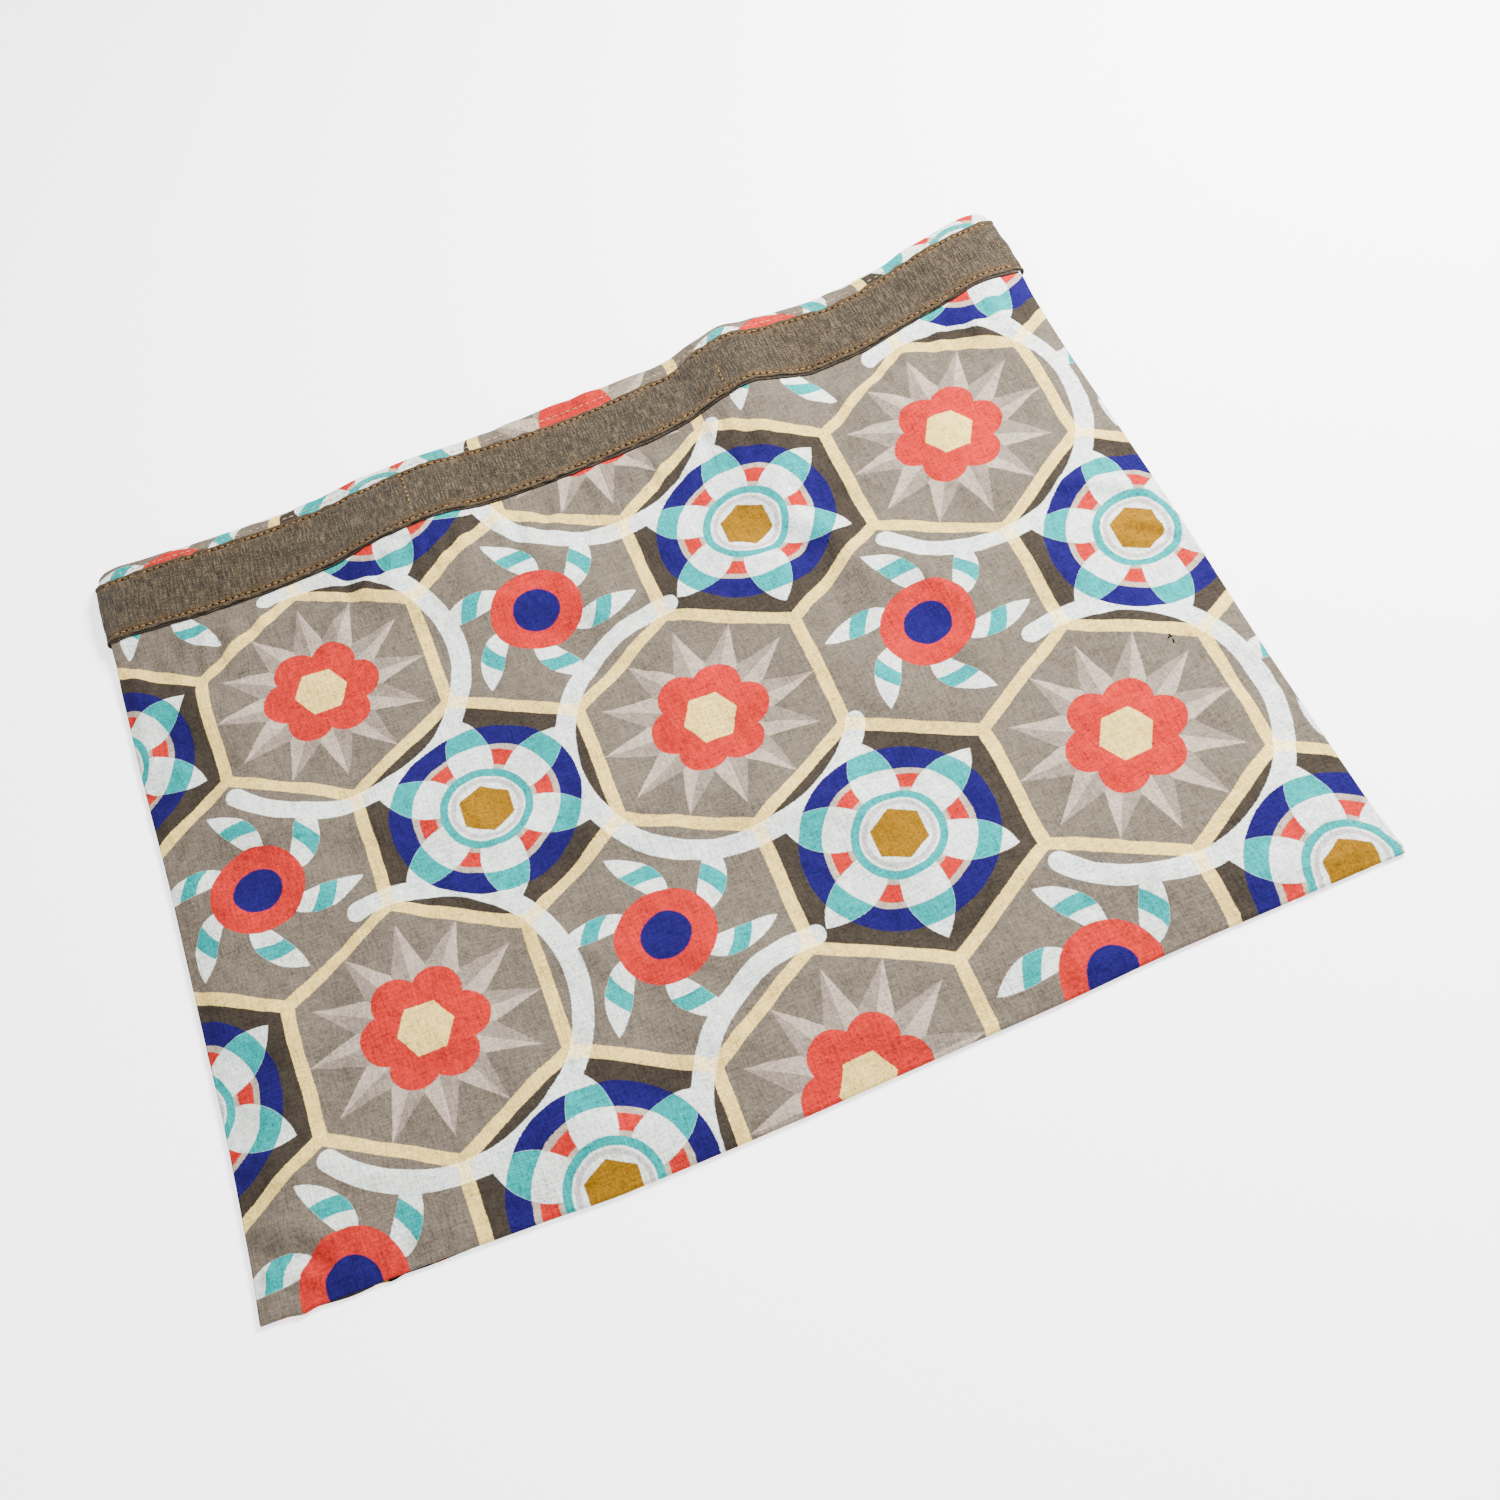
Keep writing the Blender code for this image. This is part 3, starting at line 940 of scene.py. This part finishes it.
# Painted shade: the near-black under the band's folded foot and under the second layer's low edge
PAINTED_FOLD_SHADE = dyed(0.012, 0.008, 0.005)
TAN_THREAD = dyed(0.9, 0.45, 0.09)
TAN_THREAD_DARK = dyed(0.22, 0.1, 0.025)
PALE_THREAD = dyed(1.5, 1.1, 0.6)
PALE_THREAD_DARK = dyed(0.5, 0.34, 0.2)
# Painted shade: the dark inside the needle holes
PAINTED_HOLE_SHADE = dyed(0.03, 0.018, 0.01)
SNIPPET_SHADE = dyed(0.05, 0.035, 0.03)

# Grain of the cloth: a noise's scale (a pair where it is drawn out one way, as threads are), its share in
# the whole, and its turn in degrees
Grain = namedtuple("Grain", "scale share turn detail roughness distortion", defaults=(1.0, 0, 2.0, 0.5, 0.0))
COTTON_THREADS = (
    Grain((17, 105), share=0.75, roughness=0.6),
    Grain((15, 100), share=0.75, turn=90, roughness=0.6),
    Grain((28, 95), share=0.4, turn=40),
    Grain((28, 95), share=0.4, turn=-38),
    Grain(105.0, share=0.8, roughness=0.7),
)
COTTON_THREAD_SHADE = 1.15
COTTON_MOTTLE = (Grain(20.0, share=0.4, detail=4.0, roughness=0.6, distortion=0.5), Grain(3.0, share=0.3))
COTTON_CRINKLE = Grain(7.0, detail=5.0, distortion=0.8)
CHAMBRAY_THREADS = (
    Grain((24, 150), share=0.45, roughness=0.6),
    Grain((150, 16), share=0.9, roughness=0.6),
    Grain(125.0, share=0.85, detail=3.0, roughness=0.8),
    Grain(9.0, share=0.15),
)
CHAMBRAY_LEVEL = 0.485
CHAMBRAY_RAMP = ((0.3, CHAMBRAY_DARK), (0.5, CHAMBRAY), (0.73, CHAMBRAY_LIGHT))
THREAD_GRAIN = Grain(700.0)
THREAD_DARK_BELOW = 0.32
THREAD_CONTRAST = 4.0

# How the print's outlines wander and fray, in millimetres
WANDER_X = Grain(8.0, share=0.9, detail=1.0)
WANDER_Y = Grain((7, 7), share=0.9, turn=90, detail=1.0)
FRAY = Grain(110.0, share=0.45, detail=1.0)

# The relief of each grain, with its depth in metres
Relief = namedtuple("Relief", "strength depth")
CRINKLE_RELIEF = Relief(0.6, 0.0018)
COTTON_RELIEF = Relief(0.8, 0.0004)
CHAMBRAY_RELIEF = Relief(0.9, 0.0007)
THREAD_RELIEF = Relief(0.5, 0.0002)

# Marks along the band: how far each reaches, over what run it fades, and its share. The tint beside the rows
# is the cloth's own colour; the rows' grooves, the fold and the second layer's low edge are painted shade.
Shading = namedtuple("Shading", "reach run share", defaults=(1.0,))
BESIDE_ROW = Shading(reach=3.0, run=1.4, share=0.3)
ROW_GROOVE_SHADE = Shading(reach=1.2, run=1.2, share=0.6)
# Painted shade under the band's folded foot and under the second layer's low edge
UNDER_FOLD_SHADE = Shading(reach=0.95, run=0.2)
LOW_EDGE_SHADE = Shading(reach=UNDER_MAP - 0.74, run=1 / 15)
UNDER_FROM = UNDER_MAP - 2.0
# How strongly the painted shade darkens the second layer
UNDER_SHADE_SHARE = 0.55

# The print's cells and their lines, in millimetres of flat cloth, and its start on each panel
HEXAGON = 92.0
ROW = HEXAGON * math.sqrt(3)
LINE_HALF = 2.5
FRONT_START = (58.0, 139.5)
BACK_START = (96.0, 139.5)

# The ringed flower, from its leaves in
Leaf = namedtuple("Leaf", "start end half_width")
FLOWER_LEAF = Leaf(start=6.0, end=44.0, half_width=8.6)
FLOWER_RING = 33.0
FLOWER_RING_HALF = 4.4
FLOWER_PALE = 28.6
FLOWER_CORAL = 26.2
FLOWER_INNER_PALE = 19.8
FLOWER_TURQUOISE = 18.0
FLOWER_WHITE = 14.8
FLOWER_FAINT = 12.9
FLOWER_FAINT_HALF = 0.9
FLOWER_HEXAGON = 9.6

# The daisy and the points behind it
DAISY_TIP = 43.5
DAISY_VALLEY = 25.0
DAISY_HALF_POINT = math.radians(15)
DAISY_LOBE_AT = 14.5
DAISY_LOBE = 9.6
DAISY_MIDDLE = 15.0
DAISY_HEXAGON = 9.4

# The pinwheel, whose blades curl by an angle for each millimetre from its middle
BLADE = Leaf(start=13.0, end=41.0, half_width=6.0)
BLADE_CURL = 0.02
BLADE_STRIPE = 28.0
BLADE_STRIPE_HALF = 3.2
PINWHEEL_CORAL = 19.0
PINWHEEL_BLUE = 9.6

# The loose arcs, which are cut off at the flowers
ARC = 57.0
ARC_HALF = 4.0
ARC_OPENING = math.radians(58)
ARC_TURN = 0.5
ARC_OTHER_TURN = 2.3
ARC_CUT = 37.4


def petals(reach, turn, leaf):
    """The distance to leaf shapes that lie along the folded direction."""
    half = (leaf.end - leaf.start) / 2
    sink = (half * half - leaf.half_width * leaf.half_width) / (2 * leaf.half_width)
    along_leaf = reach * turn.do("COSINE") - (leaf.start + half)
    return distance(along_leaf, (reach * turn.do("SINE")).size() + sink) - (leaf.half_width + sink)


def pointed(reach, turn, tip, valley, half):
    """The distance to a star, where turn is the angle from its nearest tip and half the angle to a valley."""
    dx, dy = valley * math.cos(half) - tip, valley * math.sin(half)
    run = math.hypot(dx, dy)
    x = reach * turn.do("COSINE")
    y = (reach * turn.do("SINE")).size()
    return x * (dy / run) - y * (dx / run) - tip * dy / run


def folded(angle, start, turn):
    """An angle from the nearest of the directions that lie a turn apart from a start on, both in degrees."""
    half = math.radians(turn / 2)
    return (angle + (half - math.radians(start))).wrapped(math.radians(turn)) - half


def nearest_centre(x, y, wide, high):
    """The place from the nearest centre of a staggered grid, and 1 where that centre is in the first rows."""
    ax = x.wrapped(wide) - wide / 2
    ay = y.wrapped(high) - high / 2
    bx = (x + wide / 2).wrapped(wide) - wide / 2
    by = (y + high / 2).wrapped(high) - high / 2
    nearer = (ax * ax + ay * ay).below(bx * bx + by * by)
    return bx + nearer * (ax - bx), by + nearer * (ay - by), nearer


def ringed_flower(tree, reach, to_flat, to_corner):
    leaf = petals(reach, to_corner, FLOWER_LEAF)
    ring = (reach - FLOWER_RING).size() - FLOWER_RING_HALF
    return painted(tree, BROWN, (
        (BLUE, ring),
        (LIGHT_GREY, reach - FLOWER_PALE),
        (CORAL, reach - FLOWER_CORAL),
        (LIGHT_GREY, reach - FLOWER_INNER_PALE),
        (WHITE, leaf),
        (TURQUOISE, leaf.larger(ring)),
        (TURQUOISE, reach - FLOWER_TURQUOISE),
        (WHITE, reach - FLOWER_WHITE),
        (FAINT, (reach - FLOWER_FAINT).size() - FLOWER_FAINT_HALF),
        (MUSTARD, reach * to_flat.do("COSINE") - FLOWER_HEXAGON),
    ))


def daisy(tree, reach, to_flat, to_corner, to_point):
    ray = pointed(reach, to_point, DAISY_TIP, DAISY_VALLEY, DAISY_HALF_POINT)
    facet = mixed(tree, MID_GREY, LIGHT_GREY, to_point.do("GREATER_THAN", 0.0))
    lobe = distance(reach * to_flat.do("COSINE") - DAISY_LOBE_AT, reach * to_flat.do("SINE")) - DAISY_LOBE
    return painted(tree, TAUPE, (
        (facet, ray),
        (CORAL, lobe.smaller(reach - DAISY_MIDDLE)),
        (CREAM, reach * to_corner.do("COSINE") - DAISY_HEXAGON),
    ))


def pinwheel(tree, reach, curled):
    blade = petals(reach, curled, BLADE)
    stripe = (reach - BLADE_STRIPE).size() - BLADE_STRIPE_HALF
    return painted(tree, TAUPE, (
        (WHITE, blade),
        (TURQUOISE, blade.larger(stripe)),
        (CORAL, reach - PINWHEEL_CORAL),
        (BLUE, reach - PINWHEEL_BLUE),
    ))


def loose_arcs(x, y):
    """The distance to the arcs round the daisies, turned one way in every second row."""
    px, py, nearer = nearest_centre(x, y, HEXAGON * 3, ROW)
    far = distance(px, py)
    swing = folded(py.do("ARCTAN2", px) + nearer * ARC_OTHER_TURN + ARC_TURN, 0, 360).size()
    tip_x = far * swing.do("COSINE") - ARC * math.cos(ARC_OPENING)
    tip_y = far * swing.do("SINE") - ARC * math.sin(ARC_OPENING)
    arc = ((far - ARC).size() - ARC_HALF).larger((ARC_OPENING - swing) * far)
    return arc.smaller(distance(tip_x, tip_y) - ARC_HALF)


def quilt_print(tree, x, y):
    """A generic quilt print: flowers, daisies and pinwheels in hexagons with cream lines, and loose arcs."""
    px, py, nearer = nearest_centre(x, y, HEXAGON, ROW)
    column_a = (x / HEXAGON).do("FLOOR")
    column_b = ((x - HEXAGON / 2) / HEXAGON).do("FLOOR") - 1.0
    kind = (column_b + nearer * (column_a - column_b)).wrapped(3.0)
    is_flower = kind.below(0.5)
    is_pinwheel = kind.do("GREATER_THAN", 1.5)
    is_daisy = 1.0 - is_flower - is_pinwheel

    reach = distance(px, py)
    angle = py.do("ARCTAN2", px)
    to_flat = folded(angle, 0, 60)
    to_corner = folded(angle, 30, 60)
    flower_colour = ringed_flower(tree, reach, to_flat, to_corner)
    daisy_colour = daisy(tree, reach, to_flat, to_corner, folded(angle, 0, 30))
    pinwheel_colour = pinwheel(tree, reach, folded(angle + reach * BLADE_CURL, 0, 60))
    colour = mixed(tree, flower_colour, daisy_colour, is_daisy)
    colour = mixed(tree, colour, pinwheel_colour, is_pinwheel)

    over = loose_arcs(x, y).inside() * (1.0 - is_flower * (reach - ARC_CUT).inside())
    on_cells = mixed(tree, colour, WHITE, over)
    on_lines = mixed(tree, CREAM, ARC_OVER_LINE, over)
    to_side = px.size().larger(px.size() * 0.5 + py.size() * (math.sqrt(3) / 2))
    return mixed(tree, on_cells, on_lines, (HEXAGON / 2 - to_side - LINE_HALF).inside())


def bump(tree, height, relief, normal=None):
    """A fine relief of the surface, over another one where there is one."""
    node = tree.nodes.new("ShaderNodeBump")
    set_inputs(node, {"Strength": relief.strength, "Distance": relief.depth})
    tree.links.new(height.socket, node.inputs["Height"])
    if normal is not None:
        tree.links.new(normal, node.inputs["Normal"])
    return node.outputs["Normal"]


def cloth_shader(name, roughness, sheen):
    material = bpy.data.materials.new(name)
    material.use_nodes = True
    shader = material.node_tree.nodes["Principled BSDF"]
    set_inputs(shader, {"Roughness": roughness, "Specular IOR Level": 0.04})
    set_inputs(shader, {"Sheen Weight": sheen, "Sheen Roughness": 0.6})
    return material, material.node_tree, shader


def print_cloth(name, start):
    """The printed cotton, where the start says which place of the print lies at the panel's corner."""
    material, tree, shader = cloth_shader(name, roughness=0.95, sheen=0.0)
    flat, x, y = cloth_map(tree)
    fray = grains(tree, flat, [FRAY])
    x = x * MAP_UNIT + grains(tree, flat, [WANDER_X]) + fray + start[0]
    y = y * MAP_UNIT + grains(tree, flat, [WANDER_Y]) + fray + start[1]
    colour = quilt_print(tree, x, y)

    threads = grains(tree, flat, COTTON_THREADS)
    shade = threads * COTTON_THREAD_SHADE + grains(tree, flat, COTTON_MOTTLE) + 1.0
    tree.links.new(scaled(tree, colour, shade), shader.inputs["Base Color"])

    normal = bump(tree, noise(tree, flat, COTTON_CRINKLE), CRINKLE_RELIEF)
    normal = bump(tree, threads, COTTON_RELIEF, normal)
    tree.links.new(normal, shader.inputs["Normal"])
    return material


def shaded(place, shading):
    """A mask that is full up to near a shading's reach and fades out there."""
    return (shading.reach - place).do("DIVIDE", shading.run, clamp=True) * shading.share


def chambray():
    """The band's flecked weave, warmer along its rows, with painted shade in the grooves of its rows, on its
    second layer and under its folds.
    """
    material, tree, shader = cloth_shader("chambray_weave", roughness=0.95, sheen=0.08)
    flat, _, map_y = cloth_map(tree)
    level = grains(tree, flat, CHAMBRAY_THREADS) + CHAMBRAY_LEVEL
    ramp = tree.nodes.new("ShaderNodeValToRGB")
    points = ramp.color_ramp.elements
    points.new(1.0)
    for k, (position, colour) in enumerate(CHAMBRAY_RAMP):
        points[k].position = position
        points[k].color = (*colour, 1)
    tree.links.new(level.socket, ramp.inputs[0])

    # Places from the band's foot round its section, in millimetres
    round_section = map_y * MAP_UNIT
    second_layer = round_section.do("GREATER_THAN", UNDER_FROM)
    lower_row = (round_section - (LOWER_ROW + STRIP)).size()
    upper_row = (round_section - (UPPER_ROW + STRIP)).size()
    from_row = lower_row.smaller(upper_row)
    # Painted shade at the second layer's low edge
    low_edge_shade = shaded(round_section, LOW_EDGE_SHADE) * second_layer
    # Painted shade: the second layer darkened under the band's foot
    colour = mixed(tree, ramp.outputs[0], SECOND_LAYER_SHADE, second_layer * UNDER_SHADE_SHARE)
    colour = mixed(tree, colour, ROW_TINT, shaded(from_row, BESIDE_ROW))
    # Painted shade in the grooves of the sewn rows
    colour = mixed(tree, colour, PAINTED_GROOVE_SHADE, shaded(from_row, ROW_GROOVE_SHADE))
    # Painted shade under the band's folded foot
    colour = mixed(tree, colour, PAINTED_FOLD_SHADE, shaded(round_section, UNDER_FOLD_SHADE).larger(low_edge_shade))
    tree.links.new(colour, shader.inputs["Base Color"])
    tree.links.new(bump(tree, level, CHAMBRAY_RELIEF), shader.inputs["Normal"])
    return material


def thread(name, colour, dark):
    """A thread's colour, broken up by darker spots."""
    material, tree, shader = cloth_shader(name, roughness=0.7, sheen=0.1)
    where = tree.nodes.new("ShaderNodeTexCoord")
    level = noise(tree, where.outputs["Object"], THREAD_GRAIN)
    bright = (level - THREAD_DARK_BELOW).do("MULTIPLY", THREAD_CONTRAST, clamp=True)
    tree.links.new(mixed(tree, dark, colour, bright), shader.inputs["Base Color"])
    tree.links.new(bump(tree, level, THREAD_RELIEF), shader.inputs["Normal"])
    return material


def plain(name, colour, roughness=0.9):
    material, _, shader = cloth_shader(name, roughness, sheen=0.0)
    shader.inputs["Base Color"].default_value = (*colour, 1)
    return material


weave = chambray()
for piece, material in (
    (front, print_cloth("printed_cotton_front", FRONT_START)),
    (back, print_cloth("printed_cotton_back", BACK_START)),
    (band, weave),
    (under, weave),
    (band_stitches, thread("tan_thread", TAN_THREAD, TAN_THREAD_DARK)),
    (rim_stitches, thread("pale_thread", PALE_THREAD, PALE_THREAD_DARK)),
    (needle_holes, plain("hole_shadow", PAINTED_HOLE_SHADE)),
    (snippet, plain("dark_thread", SNIPPET_SHADE, 0.7)),
):
    piece.data.materials.append(material)

for piece in (front, back, band, under, band_stitches, rim_stitches, needle_holes, snippet):
    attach(piece, "root")
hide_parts("front_panel")
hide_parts("back_panel")
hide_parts("band")


# Floor, light and camera, in metres and watts
FLOOR_GLOW = 1.3
STUDIO_GLOW = 1.1
KEY_PLACE = (0.58, 0.25, 0.66)
KEY_SIZE = 0.3
KEY_POWER = 37
FILL_PLACE = (-0.6, -1.6, 2.0)
FILL_SIZE = 2.2
FILL_POWER = 44
CAMERA_PLACE = (-0.02449, -0.36535, 0.5623)
CAMERA_TURN = (29.79363, 8.39616, -21.37013)
CAMERA_LENS = 41.066

bpy.ops.mesh.primitive_plane_add(size=8, location=(0, 0, -0.0001))
floor = bpy.context.object
floor.name = "floor"
pale = plain("pale_floor", (0.95, 0.95, 0.95), 0.8)
pale_shader = pale.node_tree.nodes["Principled BSDF"]
set_inputs(pale_shader, {"Emission Color": (1, 1, 1, 1), "Emission Strength": FLOOR_GLOW})
floor.data.materials.append(pale)


def soft_light(name, size, power, place):
    """A round light that points at the bag."""
    light = bpy.data.lights.new(name, "AREA")
    light.shape = "DISK"
    light.size = size
    light.energy = power
    made = added(name, light)
    made.location = place
    made.rotation_euler = (-Vector(place)).to_track_quat("-Z", "Y").to_euler()


soft_light("key_light", KEY_SIZE, KEY_POWER, KEY_PLACE)
soft_light("fill_light", FILL_SIZE, FILL_POWER, FILL_PLACE)

world = bpy.data.worlds.new("studio")
world.use_nodes = True
set_inputs(world.node_tree.nodes["Background"], {"Color": (1, 1, 1, 1), "Strength": STUDIO_GLOW})
bpy.context.scene.world = world

camera_data = bpy.data.cameras.new("camera")
camera_data.lens = CAMERA_LENS
camera_data.sensor_width = 36
camera_data.clip_start = 0.01
camera_data.clip_end = 20
camera = added("camera", camera_data)
camera.location = CAMERA_PLACE
camera.rotation_euler = [math.radians(turn) for turn in CAMERA_TURN]
bpy.context.scene.camera = camera
